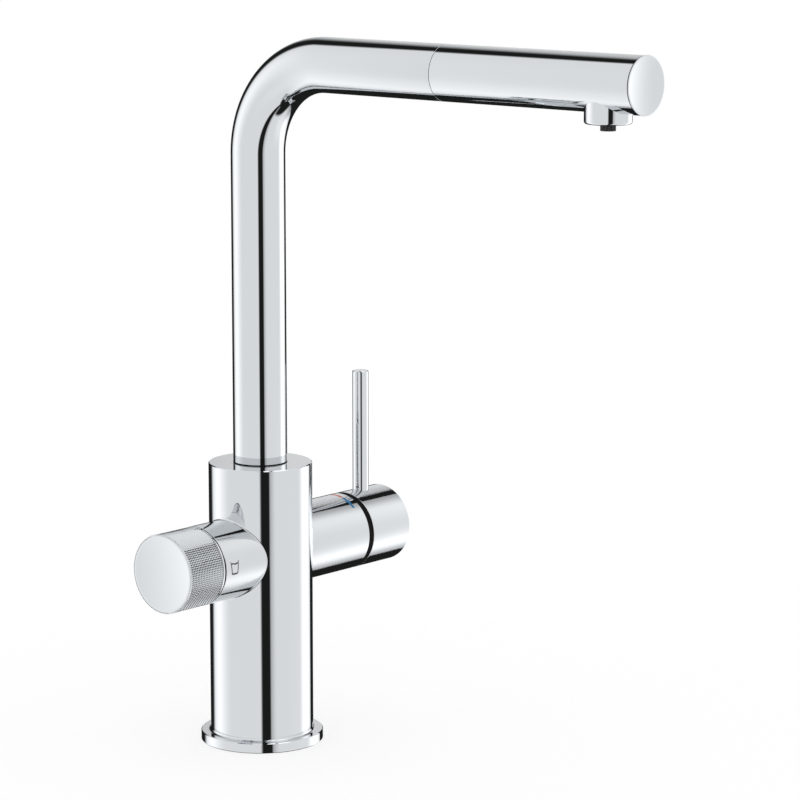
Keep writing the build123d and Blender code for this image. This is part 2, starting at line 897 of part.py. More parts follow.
def head_end_cap():
    disc_start_y = head_end - end_disc_h
    edge = end_disc_d / 2
    cap = turned(
        (0, disc_start_y - end_plug_h),
        (spout_bore_r - fit_gap, disc_start_y - end_plug_h),
        (spout_bore_r - fit_gap, disc_start_y),
        (edge, disc_start_y),
        (edge, head_end - edge_break),
        (edge - edge_break, head_end),
        (0, head_end),
    )
    return on_spout * cap


def head_spigot():
    flange_start = head_start + seam_gap
    spigot = tube(dock_bore_d - 2 * free_gap, spigot_bore_d, spigot_start, flange_start)
    flange_d_inside = 2 * spout_bore_r - 2 * fit_gap
    spigot += tube(flange_d_inside, connector_d + 2 * fit_gap, flange_start, flange_start + spigot_flange_h)
    groove_d = dock_bore_d - 2 * free_gap - 2 * o_ring_section_d + 2 * fit_gap
    half = o_ring_section_d / 2 + fit_gap
    return on_spout * (spigot - tube(dock_bore_d, groove_d, dock_ring_at - half, dock_ring_at + half))


def dock_o_ring():
    radius = dock_bore_d / 2 - free_gap + 2 * fit_gap - o_ring_section_d / 2
    return on_spout * (Pos(0, 0, dock_ring_at) * Torus(radius, o_ring_section_d / 2))


def hose_connector():
    connector = rod(connector_d, connector_start, connector_end)
    connector -= rod(hose_d + 2 * fit_gap, connector_start, hose_end + fit_gap)
    return on_spout * (connector - rod(hose_bore_d, connector_start, connector_end))


def check_valve():
    start = connector_end + fit_gap
    return on_spout * tube(valve_body_d, line_d + 2 * fit_gap, start, start + valve_body_length)


def head_waterway():
    """Plastic insert that leads both waters from the hose to the outlet."""
    start = head_start + seam_gap + spigot_flange_h + fit_gap
    end = head_end - end_disc_h - end_plug_h - fit_gap
    valve_end_y = connector_end + 2 * fit_gap + valve_body_length
    insert = rod(2 * spout_bore_r - 2 * fit_gap, start, end)
    insert -= rod(connector_d + 2 * fit_gap, start, connector_end + fit_gap)
    insert -= rod(valve_body_d + 2 * fit_gap, connector_end, valve_end_y)
    insert -= rod(line_bore_d, connector_end, outlet_y)
    mixed_channel = Pos(0, -waterway_offset, 0) * rod(line_d, valve_end_y, outlet_y - nozzle_d)
    insert = on_spout * (insert - mixed_channel)
    insert -= down_at_outlet(collar_d + 2 * fit_gap, collar_bottom_z, collar_top_z)
    return insert - down_at_outlet(nozzle_bore_d, collar_top_z, spout_axis_z)


def outlet_collar():
    height = collar_top_z - collar_bottom_z - fit_gap
    collar = rod(collar_d, 0, height) - rod(collar_d - 2 * collar_wall, 0, height)
    lower_edges = collar.edges().filter_by(GeomType.CIRCLE).sort_by(Axis.Z)[:2]
    outer_edge = lower_edges.sort_by(SortBy.RADIUS)[-1]
    collar = fillet(outer_edge, collar_round)
    return Pos(0, -outlet_y, collar_bottom_z) * collar


def aerator():
    bottom_z = collar_bottom_z + aerator_recess
    disc = tube(2 * aerator_r, nozzle_d + 2 * fit_gap, bottom_z, bottom_z + aerator_h)
    for ring_r, count in zip(jet_ring_radii, jet_counts):
        for index in range(count):
            disc -= at_polar(ring_r, 360 * index / count) * rod(jet_d, bottom_z, bottom_z + aerator_h)
    return Pos(0, -outlet_y, 0) * disc


def filter_nozzle():
    top_z = collar_top_z - fit_gap
    nozzle = tube(nozzle_d, nozzle_bore_d, nozzle_bottom_z, top_z)
    rib_top_z = collar_bottom_z + aerator_recess
    for index in range(nozzle_ribs):
        place = at_polar(nozzle_d / 2, 360 * index / nozzle_ribs)
        nozzle -= place * rod(nozzle_rib_d, nozzle_bottom_z, rib_top_z)
    return Pos(0, -outlet_y, 0) * nozzle


PIECES = (
    base_flange,
    base_gasket,
    mounting_bush,
    inlet_manifold,
    manifold_screws,
    water_risers,
    waterway_core,
    body_shell,
    mixer_housing,
    cartridge_nipple,
    cartridge_body,
    ceramic_discs,
    cartridge_nut,
    shadow_ring,
    hot_mark,
    cold_mark,
    cartridge_rotor,
    lever_stem,
    lever_pin,
    lever_adapter,
    lever_cap,
    lever_rod,
    grub_screw,
    filter_sleeve,
    glass_mark,
    valve_nipple,
    filter_valve,
    valve_nut,
    knob_guide_ring,
    valve_spindle,
    spindle_clip,
    filter_knob,
    knob_screw,
    knob_face,
    spout_tube,
    spout_journal,
    spout_o_rings,
    clip_ring,
    stop_key,
    swivel_stop_ring,
    stop_screws,
    swivel_bush,
    swivel_washer,
    dock_bush,
    hose_riser,
    filter_line_riser,
    hose_front,
    filter_line_front,
    head_shell,
    head_end_cap,
    head_spigot,
    dock_o_ring,
    hose_connector,
    check_valve,
    head_waterway,
    outlet_collar,
    aerator,
    filter_nozzle,
)

os.makedirs("parts", exist_ok=True)
for piece in PIECES:
    write(piece.__name__, piece())
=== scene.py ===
import json
import math

import bpy
from bpy.props import FloatProperty, FloatVectorProperty, IntProperty, PointerProperty
from bpy.types import Operator, Panel, PropertyGroup
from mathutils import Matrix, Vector


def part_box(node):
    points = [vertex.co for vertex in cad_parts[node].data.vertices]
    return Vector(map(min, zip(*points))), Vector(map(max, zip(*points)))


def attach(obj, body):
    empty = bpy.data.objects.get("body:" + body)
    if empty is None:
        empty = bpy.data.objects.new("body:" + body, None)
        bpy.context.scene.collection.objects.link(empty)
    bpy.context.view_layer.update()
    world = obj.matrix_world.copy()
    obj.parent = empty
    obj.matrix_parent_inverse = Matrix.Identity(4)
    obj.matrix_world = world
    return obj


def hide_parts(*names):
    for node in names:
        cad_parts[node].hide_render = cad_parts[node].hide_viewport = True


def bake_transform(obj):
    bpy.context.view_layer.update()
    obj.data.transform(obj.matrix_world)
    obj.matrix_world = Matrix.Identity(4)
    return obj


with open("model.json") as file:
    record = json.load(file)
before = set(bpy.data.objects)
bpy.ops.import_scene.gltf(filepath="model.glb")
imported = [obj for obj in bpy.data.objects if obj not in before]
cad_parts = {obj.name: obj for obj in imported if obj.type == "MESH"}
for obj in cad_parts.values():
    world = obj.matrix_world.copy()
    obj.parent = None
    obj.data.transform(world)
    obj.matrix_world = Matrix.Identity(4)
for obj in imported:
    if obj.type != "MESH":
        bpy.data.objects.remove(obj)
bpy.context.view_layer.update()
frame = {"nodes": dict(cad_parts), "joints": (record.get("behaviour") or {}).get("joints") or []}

bl_info = {
    "name": "Kitchen tap dressing",
    "version": (1, 0, 0),
    "blender": (4, 5, 0),
    "location": "3D View > Sidebar > Tap",
    "description": "Finishes, knurled knob, braided hose and studio for a kitchen tap with a filter knob",
    "category": "Object",
}

MM = 0.001
ROUND_STEPS = 192
FINE_STEPS = 240

# Sizes that two pieces share. SUNK is how far a fillet reaches into what it stands on.
CAP_LIP = 0.3 * MM
RING_BORE = 12.5 * MM
SUNK = 0.03 * MM


def middle_and_radius(node, axis):
    """The middle line and the radius of a round node that lies along an axis, from its box."""
    low, high = (Vector(corner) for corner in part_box(node))
    across = [i for i in range(3) if i != axis]
    return (low + high) / 2, (high[across[1]] - low[across[1]]) / 2


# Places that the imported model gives
knob_middle, knob_radius = middle_and_radius("filter_knob", 0)
knob_start = -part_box("filter_knob")[1][0]
knob_end = -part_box("filter_knob")[0][0]
side_axis_z = knob_middle.z
end_disc_middle, end_disc_radius = middle_and_radius("head_end_cap", 1)
end_disc_start = -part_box("head_end_cap")[1][1]
end_disc_end = -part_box("head_end_cap")[0][1]
spout_axis_z = end_disc_middle.z
end_disc_neck = -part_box("head_shell")[0][1]
spout_radius = middle_and_radius("spout_tube", 0)[0].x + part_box("spout_tube")[1][0]
spout_foot_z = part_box("spout_tube")[0][2]
spout_tube_end = -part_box("spout_tube")[0][1]
body_radius = middle_and_radius("body_shell", 2)[1]
flange_top_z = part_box("base_flange")[1][2]
sleeve_end = -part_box("filter_sleeve")[0][0]
housing_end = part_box("mixer_housing")[1][0]
cap_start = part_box("lever_cap")[0][0]
guide_ring_start = -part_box("knob_guide_ring")[1][0]
guide_ring_end = -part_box("knob_guide_ring")[0][0]
shadow_ring_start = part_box("shadow_ring")[0][0]
inner_ring_radius = middle_and_radius("shadow_ring", 0)[1]
washer_low, washer_high = (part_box("swivel_washer")[i][2] for i in (0, 1))
glass_middle = (Vector(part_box("glass_mark")[0]) + Vector(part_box("glass_mark")[1])) / 2
mark_x = (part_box("hot_mark")[0][0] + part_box("hot_mark")[1][0]) / 2
hose_radius = middle_and_radius("hose_front", 1)[1]
hose_split = -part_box("hose_front")[1][1]
hose_end = -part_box("hose_front")[0][1]
hose_foot_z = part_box("hose_riser")[0][2]
line_radius = middle_and_radius("filter_line_front", 1)[1]
line_end = -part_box("filter_line_front")[0][1]
line_foot_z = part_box("filter_line_riser")[0][2]
pull_out_travel = next(j for j in frame["joints"] if j["name"] == "head_pull_out")["range_m"][1]


def length_property(name, description, millimetres):
    """A length that the panel shows."""
    return FloatProperty(name=name, description=description, default=millimetres * MM, unit="LENGTH")


def colour_property(name, description, default):
    """A colour that the panel shows."""
    return FloatVectorProperty(name=name, description=description, default=default, subtype="COLOR",
                               size=3, min=0.0, max=1.0)


class TapKnobSizes(PropertyGroup):
    """Sizes of the knurled filter knob."""

    knurl_count: IntProperty(
        name="Knurl columns", description="Points of the knurl round the knob", default=114, min=24)
    knurl_rows: IntProperty(
        name="Knurl rows", description="Points of the knurl along the knob", default=20, min=4)
    knurl_depth: length_property("Knurl depth", "Height of a point", 0.38)
    knurl_flat: FloatProperty(
        name="Knurl flat", description="Flat top of a point, as a share of its pitch", default=0.03,
        min=0.0, max=0.8)
    rear_band: length_property("Rear band", "Smooth band next to the sleeve", 0.9)
    front_band: length_property("Front band", "Smooth band and bevel at the face", 0.5)
    bevel: length_property("Bevel", "Bevel round the face", 0.25)
    wall: length_property("Wall", "Wall of the knob's skirt", 2.7)
    face_gap: length_property("Face gap", "Groove round the face disc", 0.12)
    face_rim: length_property("Face rim", "Width of the rim round the face disc", 0.2)
    face_depth: length_property("Face seat", "Depth of the seat of the face disc", 2.0)
    face_dish: length_property("Face dish", "How far the face disc is hollowed", 1.0)


class TapSpoutSizes(PropertyGroup):
    """Sizes of the spout, its end disc and its hoses."""

    end_dish: length_property("End dish", "How far the end disc is hollowed", 0.6)
    end_groove: length_property("End groove", "Groove between the tube and its end disc", 0.6)
    spout_wall: length_property("Spout wall", "Wall of the spout's tube", 1.5)
    bend_radius: length_property("Bend radius", "Radius of the spout's bend", 44.0)
    hose_wall: length_property("Hose wall", "Wall of the pull-out hose", 1.6)
    line_wall: length_property("Line wall", "Wall of the filtered-water line", 0.8)
    braid_bundles: IntProperty(
        name="Braid bundles", description="Bundles of wire each way round the hose", default=12, min=4)
    braid_depth: length_property("Braid depth", "Height of a bundle of wire", 0.25)


class TapSmallSizes(PropertyGroup):
    """Sizes of the fillets, marks and signs."""

    arm_bead: length_property("Arm fillet", "Radius of the fillet between the side arms and the body", 0.9)
    foot_bead: length_property("Foot fillet", "Radius of the fillet between the body and its flange", 1.15)
    sign_line: length_property("Sign line", "Width of the lines of the glass sign", 0.66)
    mark_line: length_property("Mark line", "Width of the hot and cold arcs", 1.6)
    mark_tick: length_property("Mark tick", "Length of the cross stroke on the cold arc", 3.4)


class TapColours(PropertyGroup):
    """Colours of the finishes."""

    chrome: colour_property("Chrome", "Colour of polished chrome", (0.665, 0.686, 0.708))
    brass: colour_property("Brass", "Colour of turned brass", (0.72, 0.53, 0.26))
    hot: colour_property("Hot mark", "Colour of the hot mark", (0.62, 0.09, 0.035))
    cold: colour_property("Cold mark", "Colour of the cold mark", (0.005, 0.16, 0.36))
    sign: colour_property("Glass sign", "Colour of the engraved glass sign", (0.045, 0.048, 0.05))


class TapStudio(PropertyGroup):
    """Camera and panels of the studio."""

    camera_place: FloatVectorProperty(
        name="Camera place", description="Where the camera stands", default=(-1.14807, -1.07114, 0.44486),
        subtype="TRANSLATION", unit="LENGTH", size=3)
    camera_aim: FloatVectorProperty(
        name="Camera aim", description="Where the camera looks", default=(0.00121, -0.0877, 0.17744),
        subtype="TRANSLATION", unit="LENGTH", size=3)
    lens: FloatProperty(
        name="Lens", description="Focal length in millimetres", default=149.07, min=10.0)
    front_turn: FloatProperty(
        name="Front turn", description="Direction of the studio's front, anticlockwise from +X",
        default=math.radians(224.7), subtype="ANGLE")
    floor_size: FloatProperty(
        name="Floor size", description="Side of the floor", default=12.0, unit="LENGTH")


class Value:
    """A socket of a shader, so that shader maths is written as Python expressions."""

    def __init__(self, shader, socket):
        self.shader = shader
        self.socket = socket

    def maths(self, operation, other):
        made = self.shader.node("ShaderNodeMath", {"operation": operation}, {0: self, 1: other})
        return Value(self.shader, made.outputs[0])

    def __add__(self, other):
        return self.maths("ADD", other)

    __radd__ = __add__

    def __mul__(self, other):
        return self.maths("MULTIPLY", other)

    __rmul__ = __mul__


class Shader:
    """A material under construction."""

    def __init__(self, name):
        self.material = bpy.data.materials.new(name)
        self.material.use_nodes = True
        self.tree = self.material.node_tree
        self.tree.nodes.clear()

    def node(self, kind, settings=None, inputs=None):
        """A node of a type, with its settings set first, and then its sockets' values or links."""
        made = self.tree.nodes.new(kind)
        for name, value in (settings or {}).items():
            setattr(made, name, value)
        for name, value in (inputs or {}).items():
            if isinstance(value, Value):
                self.tree.links.new(value.socket, made.inputs[name])
            else:
                made.inputs[name].default_value = value
        return made

    def value(self, kind, settings=None, inputs=None, output=0):
        return Value(self, self.node(kind, settings, inputs).outputs[output])

    def place(self, stretch=(1.0, 1.0, 1.0)):
        """Object coordinates in metres, stretched along the axes."""
        point = self.value("ShaderNodeTexCoord", output="Object")
        return self.value("ShaderNodeVectorMath", {"operation": "MULTIPLY"}, {0: point, 1: stretch})

    def noise(self, scale, detail=2.0, stretch=(1.0, 1.0, 1.0)):
        """Cloudy noise from 0 to 1, with scale in cells to the metre."""
        return self.value("ShaderNodeTexNoise", None,
                          {"Vector": self.place(stretch), "Scale": scale, "Detail": detail})

    def blend(self, factor, first, second):
        """A colour between two colours."""
        inputs = {"Factor": factor, 6: (*first, 1.0), 7: (*second, 1.0)}
        return self.value("ShaderNodeMix", {"data_type": "RGBA"}, inputs, output=2)

    def bump(self, height, strength, distance):
        inputs = {"Height": height, "Strength": strength, "Distance": distance}
        return self.value("ShaderNodeBump", None, inputs)

    def finish(self, **inputs):
        """Closes the material with a Principled shader, whose sockets are named with underscores."""
        inputs = {name.replace("_", " "): value for name, value in inputs.items()}
        self.close(self.node("ShaderNodeBsdfPrincipled", None, inputs))
        return self.material

    def close(self, surface):
        self.node("ShaderNodeOutputMaterial", None, {"Surface": Value(self, surface.outputs[0])})


def shade(colour, share):
    return tuple(channel * share for channel in colour)


def polished_chrome(name="polished_chrome"):
    """Bright mirror chrome with the faintest unevenness of hand polishing."""
    colour = bpy.context.scene.tap_colours.chrome
    shader = Shader(name)
    cloud = shader.noise(60.0, 3.0)
    return shader.finish(
        Base_Color=shader.blend(cloud, colour, shade(colour, 0.985)),
        Metallic=1.0,
        Roughness=0.012 + 0.016 * cloud)


def turned_metal(name, colour, rings_axis, roughness=0.22):
    """Machined metal with fine turning marks across one axis."""
    shader = Shader(name)
    stretch = [120.0, 120.0, 120.0]
    stretch[rings_axis] = 9000.0
    marks = shader.noise(1.0, 2.0, tuple(stretch))
    cloud = shader.noise(180.0, 3.0)
    return shader.finish(
        Base_Color=shader.blend(cloud, colour, shade(colour, 0.86)),
        Metallic=1.0,
        Roughness=roughness + 0.12 * marks,
        Normal=shader.bump(marks, 0.15, 0.00004))


def cast_metal(name, colour):
    """Cast metal with a fine open grain."""
    shader = Shader(name)
    grain = shader.noise(1400.0, 4.0)
    return shader.finish(
        Base_Color=shader.blend(grain, colour, shade(colour, 0.8)),
        Metallic=1.0,
        Roughness=0.4 + 0.15 * grain,
        Normal=shader.bump(grain, 0.25, 0.00008))


def moulded_plastic(name, colour, roughness, grain_depth=0.00002):
    """Moulded plastic with a fine spark-eroded grain."""
    shader = Shader(name)
    grain = shader.noise(2600.0, 2.0)
    cloud = shader.noise(90.0, 2.0)
    return shader.finish(
        Base_Color=shader.blend(cloud, colour, shade(colour, 0.88)),
        Roughness=roughness + 0.1 * grain,
        Normal=shader.bump(grain, 0.2, grain_depth))


def painted_shade_black(name):
    """Dull black of the rings that line the gaps: near zero and with little specular, so that they read as
    the deep shade inside the gaps. It is partly the black of the plastic and partly painted shade.
    """
    shader = Shader(name)
    grain = shader.noise(2600.0, 2.0)
    return shader.finish(
        Base_Color=shader.blend(grain, (0.006, 0.006, 0.006), (0.003, 0.003, 0.003)),
        Roughness=0.75 + 0.15 * grain,
        Specular_IOR_Level=0.1)


def printed_ink(name, colour):
    """Printed or filled ink, slightly uneven."""
    shader = Shader(name)
    cloud = shader.noise(900.0, 3.0)
    return shader.finish(
        Base_Color=shader.blend(cloud, colour, shade(colour, 0.8)),
        Roughness=0.35 + 0.15 * cloud)


def braided_steel():
    """Stainless wire, drawn bright, with darker patches at random."""
    shader = Shader("braided_steel")
    wires = shader.noise(2200.0, 2.0)
    return shader.finish(
        Base_Color=shader.blend(wires, (0.62, 0.62, 0.61), (0.4, 0.4, 0.39)),
        Metallic=1.0,
        Roughness=0.2 + 0.2 * wires)


def clear_tube():
    """Milky see-through tube."""
    shader = Shader("clear_tube")
    cloud = shader.noise(300.0, 2.0)
    return shader.finish(
        Base_Color=shader.blend(cloud, (0.80, 0.86, 0.89), (0.70, 0.78, 0.82)),
        Roughness=0.22 + 0.1 * cloud,
        Transmission_Weight=0.45)


def paint(nodes, material):
    """Gives CAD nodes a material in place of their flat one."""
    for name in nodes:
        materials = frame["nodes"][name].data.materials
        materials.clear()
        materials.append(material)


def mesh_object(name, points, faces, material):
    """A new object in the scene with a mesh."""
    mesh = bpy.data.meshes.new(name)
    mesh.from_pydata(points, [], faces)
    mesh.validate()
    mesh.materials.append(material)
    made = bpy.data.objects.new(name, mesh)
    bpy.context.scene.collection.objects.link(made)
    return made


def new_piece(name, points, faces, material, body, replaced=(), sharp_from=30.0, flat_after=None):
    """A mesh that rides on a body, where one is given, and stands for CAD nodes.

    Edges are sharp from an angle in degrees up. Faces after the first flat_after ones are flat.
    """
    piece = mesh_object(name, points, faces, material)
    mesh = piece.data
    smooth = len(mesh.polygons) if flat_after is None else flat_after
    mesh.polygons.foreach_set("use_smooth", [i < smooth for i in range(len(mesh.polygons))])
    mesh.set_sharp_from_angle(angle=math.radians(sharp_from))
    if body:
        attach(piece, body)
    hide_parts(*replaced)
    return piece


def ring(steps, radius, along):
    """A ring of points (along, across, up) round an axis."""
    angles = [2 * math.pi * i / steps for i in range(steps)]
    return [(along, radius * math.cos(a), radius * math.sin(a)) for a in angles]


def bridge(steps, first, second):
    """Quads between two rings of as many points, whose first indices are given."""
    return [(first + i, first + (i + 1) % steps, second + (i + 1) % steps, second + i)
            for i in range(steps)]


def lathe(profile, steps, closed=True):
    """Points and faces of a profile of (along, radius) turned round an axis.

    A radius of 0 makes one point, with a fan of triangles round it.
    """
    points, faces, starts = [], [], []
    for along, radius in profile:
        starts.append((len(points), radius == 0))
        points += [(along, 0.0, 0.0)] if radius == 0 else ring(steps, radius, along)
    ends = starts[1:] + starts[:1] if closed else starts[1:]
    for (first, first_point), (second, second_point) in zip(starts, ends):
        if first_point and second_point:
            continue
        if first_point:
            faces += [(first, second + (i + 1) % steps, second + i) for i in range(steps)]
        elif second_point:
            faces += [(first + i, first + (i + 1) % steps, second) for i in range(steps)]
        else:
            faces += bridge(steps, first, second)
    return points, faces


def corner(along, radius, turn_from, turn_to, size, pieces):
    """Points of a rounded corner of a profile, about a centre, in degrees from the axis."""
    turns = [math.radians(turn_from + (turn_to - turn_from) * i / pieces) for i in range(pieces + 1)]
    return [(along + size * math.cos(t), radius + size * math.sin(t)) for t in turns]


def on_side(points):
    """Points of a piece on the filter side: along is measured outwards, towards -X."""
    return [(-along, across, side_axis_z + up) for along, across, up in points]


def on_lever(points):
    """Points of a piece on the lever side: along is measured outwards, towards +X."""
    return [(along, across, side_axis_z + up) for along, across, up in points]


def on_spout(points):
    """Points of a piece along the level part of the spout: along is measured towards -Y."""
    return [(-across, -along, spout_axis_z + up) for along, across, up in points]


def upright(points):
    """Points of a piece on the tap's middle line: along is measured upwards."""
    return [(across, up, along) for along, across, up in points]


def turned(name, profile, place, material, body, replaced=(), steps=ROUND_STEPS, closed=True,
           sharp_from=30.0):
    """A piece turned from a profile of (along, radius) and put in its place."""
    points, faces = lathe(profile, steps, closed)
    return new_piece(name, place(points), faces, material, body, replaced, sharp_from)


def knurled_band(sizes, start, end, radius):
    """Points and faces of a band of square points, cut by straight and by ring grooves.

    A ring has two points to each column: a corner of the cells and the middle of their foot.
    """
    columns, rows = sizes.knurl_count, sizes.knurl_rows
    steps = 2 * columns
    points, faces = [], []
    for j in range(rows + 1):
        points += ring(steps, radius - sizes.knurl_depth, start + (end - start) * j / rows)
    near = (1 - sizes.knurl_flat) / 2
    for j in range(rows):
        for i in range(columns):
            top = len(points)
            for across, up in ((near, near), (near, 1 - near), (1 - near, 1 - near), (1 - near, near)):
                angle = 2 * math.pi * (i + up) / columns
                along = start + (end - start) * (j + across) / rows
                points.append((along, radius * math.cos(angle), radius * math.sin(angle)))
            a = j * steps + 2 * i
            b = j * steps + (2 * i + 2) % steps
            c, d = b + steps, a + steps
            faces += [(a, a + 1, b, top + 1, top), (b, c, top + 2, top + 1),
                      (c, d + 1, d, top + 3, top + 2), (d, a, top, top + 3),
                      (top, top + 1, top + 2, top + 3)]
    return points, faces


def make_knob(sizes, chrome):
    """The knob: knurled band, smooth bands, bevel, face seat, skirt and hub."""
    steps = 2 * sizes.knurl_count
    edge = 0.15 * MM
    rear = knob_start + 0.12 * MM
    seat_radius = knob_radius - sizes.bevel - sizes.face_rim
    seat = knob_end - sizes.face_depth
    skirt = knob_radius - sizes.wall
    hub_radius = 7.0 * MM
    hub_start = 47.6 * MM
    spindle_radius = 4.07 * MM
    spindle_end = 58.05 * MM
    floor = 62.0 * MM
    screw_radius = 2.1 * MM
    screw_head_radius = 3.6 * MM
    knurl_start = rear + sizes.rear_band
    knurl_end = knob_end - sizes.front_band
    bevel_start = knob_end - sizes.bevel
    bevel_radius = knob_radius - sizes.bevel
    plain = [
        (knurl_end, knob_radius),
        (bevel_start - 0.05 * MM, knob_radius),
        *corner(bevel_start, bevel_radius, 90, 0, sizes.bevel, 6),
        (knob_end, seat_radius),
        (seat, seat_radius),
        (seat, screw_head_radius),
        (floor, screw_head_radius),
        (floor, screw_radius),
        (spindle_end, screw_radius),
        (spindle_end, spindle_radius),
        (hub_start, spindle_radius),
        (hub_start, hub_radius),
        (floor, hub_radius),
        (floor, skirt),
        (rear, skirt),
        *corner(rear + edge, knob_radius - edge, 180, 90, edge, 5),
        (knurl_start, knob_radius),
    ]
    points, faces = lathe(plain, steps, closed=False)
    smooth = len(faces)
    band_points, band_faces = knurled_band(sizes, knurl_start, knurl_end, knob_radius)
    offset = len(points)
    faces += [tuple(offset + i for i in face) for face in band_faces]
    faces += bridge(steps, offset - steps, offset)
    faces += bridge(steps, offset + sizes.knurl_rows * steps, 0)
    new_piece("knurled_filter_knob", on_side(points + band_points), faces, chrome, "filter_control",
              ["filter_knob"], sharp_from=20.0, flat_after=smooth)


def dished_face(end, radius, dish, edge):
    """Profile of a hollowed face with a small rounded edge, from the edge to the middle."""
    flat, rings = radius - edge, 16
    return [*corner(end - edge, flat, 90, 0, edge, 5),
            *((end - dish * (1 - (1 - i / rings) ** 2), flat * (1 - i / rings)) for i in range(1, rings)),
            (end - dish, 0.0)]


def make_knob_face(sizes, chrome):
    """The plain disc that closes the knob, slightly hollowed."""
    radius = knob_radius - sizes.bevel - sizes.face_rim - sizes.face_gap
    start = knob_end - sizes.face_depth
    turned("dished_knob_face", [
        (start, 0.0), (start, radius), *dished_face(knob_end, radius, sizes.face_dish, edge=0.15 * MM)],
        on_side, chrome, "filter_control", ["knob_face"], closed=False)


def make_end_disc(sizes, chrome, black):
    """The disc that closes the spout's front end, with its plug, and a thin black ring of painted shade in
    the groove before the disc.
    """
    head_wall = 1.6 * MM
    plug_radius = spout_radius - head_wall
    disc_start = end_disc_neck + sizes.end_groove
    turned("dished_end_disc", [
        (end_disc_start, 0.0), (end_disc_start, plug_radius), (disc_start, plug_radius),
        (disc_start, end_disc_radius),
        *dished_face(end_disc_end, end_disc_radius, sizes.end_dish, edge=0.12 * MM)],
        on_spout, chrome, "pull_out_head", ["head_end_cap"], closed=False)
    # A thin black ring fills the groove between the tube and the disc so that it shows as a dark line:
    # painted shade, a dark sheet where the groove's shadow falls.
    gap = 0.02 * MM
    groove_shade_radius = spout_radius - 0.03 * MM
    turned("end_disc_seal", [
        (end_disc_neck + gap, plug_radius + gap), (disc_start - gap, plug_radius + gap),
        (disc_start - gap, groove_shade_radius), (end_disc_neck + gap, groove_shade_radius)],
        on_spout, black, "pull_out_head")


def spout_route(bend_radius, foot_z, end, step, straight_step):
    """Points and directions up the spout, round its bend and along its level part."""
    top = spout_axis_z - bend_radius
    straight = max(1, round((top - foot_z) / straight_step))
    bend = round(bend_radius * math.pi / 2 / step)
    level = max(1, round((end - bend_radius) / straight_step))
    route = [(Vector((0, 0, foot_z + (top - foot_z) * i / straight)), Vector((0, 0, 1)))
             for i in range(straight)]
    centre = Vector((0, -bend_radius, top))
    for i in range(bend):
        turn = math.pi / 2 * i / bend
        out = Vector((0, math.cos(turn), math.sin(turn)))
        route.append((centre + bend_radius * out, Vector((0, -math.sin(turn), math.cos(turn)))))
    route += [(Vector((0, -bend_radius - (end - bend_radius) * i / level, spout_axis_z)),
               Vector((0, -1, 0))) for i in range(level + 1)]
    return route


def even_when_pulled(share, length, travel):
    """Where a ring lies at rest, as a share of the length, so that rings are even when pulled out.

    The sharing takes the hose to follow the spout at one end and the head at the other, turning smoothly
    from one to the other as 3t^2 - 2t^3.
    """
    wanted = share * (length + travel)
    low, high = 0.0, 1.0
    for _ in range(40):
        t = (low + high) / 2
        if length * t + travel * t * t * (3 - 2 * t) < wanted:
            low = t
        else:
            high = t
    return (low + high) / 2


def braid_height(turn, along, bundles, pitch):
    """Height, 0 to 1, of crossed bundles of wire that pass over and under each other."""
    a = bundles * turn / (2 * math.pi) + along / pitch
    b = bundles * turn / (2 * math.pi) - along / pitch
    over = math.sin(math.pi * a) * math.sin(math.pi * b)
    first = abs(math.sin(math.pi * a)) ** 0.5 * (0.6 + 0.4 * over)
    second = abs(math.sin(math.pi * b)) ** 0.5 * (0.6 - 0.4 * over)
    return max(first, second)


def tube_mesh(route, reach, bore, around):
    """Points and faces of a thick tube along a route. reach(turn, n) is its outer radius at ring n."""
    side = Vector((1, 0, 0))
    turns = [2 * math.pi * i / around for i in range(around)]
    outer, inner, faces = [], [], []
    for n, (middle, ahead) in enumerate(route):
        up = ahead.cross(side)
        outs = [side * math.cos(turn) + up * math.sin(turn) for turn in turns]
        outer += [middle + out * reach(turn, n) for turn, out in zip(turns, outs)]
        inner += [middle + out * bore for out in outs]
    wall = len(outer)
    last = wall - around
    for first in range(0, last, around):
        faces += bridge(around, first, first + around)
        faces += bridge(around, wall + first + around, wall + first)
    faces += bridge(around, wall, 0)
    faces += bridge(around, last, wall + last)
    return outer + inner, faces


def make_spout_tube(sizes, chrome):
    """The bent tube of the spout, with its cut ends lightly rounded."""
    edge, pieces = 0.1 * MM, 6
    route = spout_route(sizes.bend_radius, spout_foot_z + edge, spout_tube_end - edge, step=0.7 * MM,
                        straight_step=1.0)
    foot, end = route[0], route[-1]
    turns = [math.radians(90 / pieces * i) for i in range(pieces)]
    route = ([(foot[0] - edge * math.cos(t) * foot[1], foot[1]) for t in turns] + route
             + [(end[0] + edge * math.cos(t) * end[1], end[1]) for t in reversed(turns)])
    last = len(route) - 1

    def reach(turn, n):
        near_end = min(n, last - n)
        return spout_radius - (edge * (1 - math.sin(turns[near_end])) if near_end < pieces else 0)

    points, faces = tube_mesh(route, reach, spout_radius - sizes.spout_wall, around=160)
    new_piece("bent_spout_tube", points, faces, chrome, "spout", ["spout_tube"], sharp_from=40.0)


def make_hose(sizes, name, node, body, route, along, around, braid):
    """A braided hose along a route. along[n] is the length of hose up to ring n."""
    pitch = 2 * math.pi * hose_radius / sizes.braid_bundles

    def reach(turn, n):
        near_end = min(n, len(route) - 1 - n) < 2
        height = 0.5 if near_end else braid_height(turn, along[n], sizes.braid_bundles, pitch)
        return hose_radius - sizes.braid_depth * (1 - height)

    points, faces = tube_mesh(route, reach, hose_radius - sizes.hose_wall, around)
    return new_piece(name, points, faces, braid, body, [node], sharp_from=60.0)


def make_line(sizes, name, node, body, route, clear):
    """The smooth filtered-water line inside the hose."""
    points, faces = tube_mesh(route, lambda turn, n: line_radius, line_radius - sizes.line_wall,
                              around=24)
    return new_piece(name, points, faces, clear, body, [node], sharp_from=60.0)


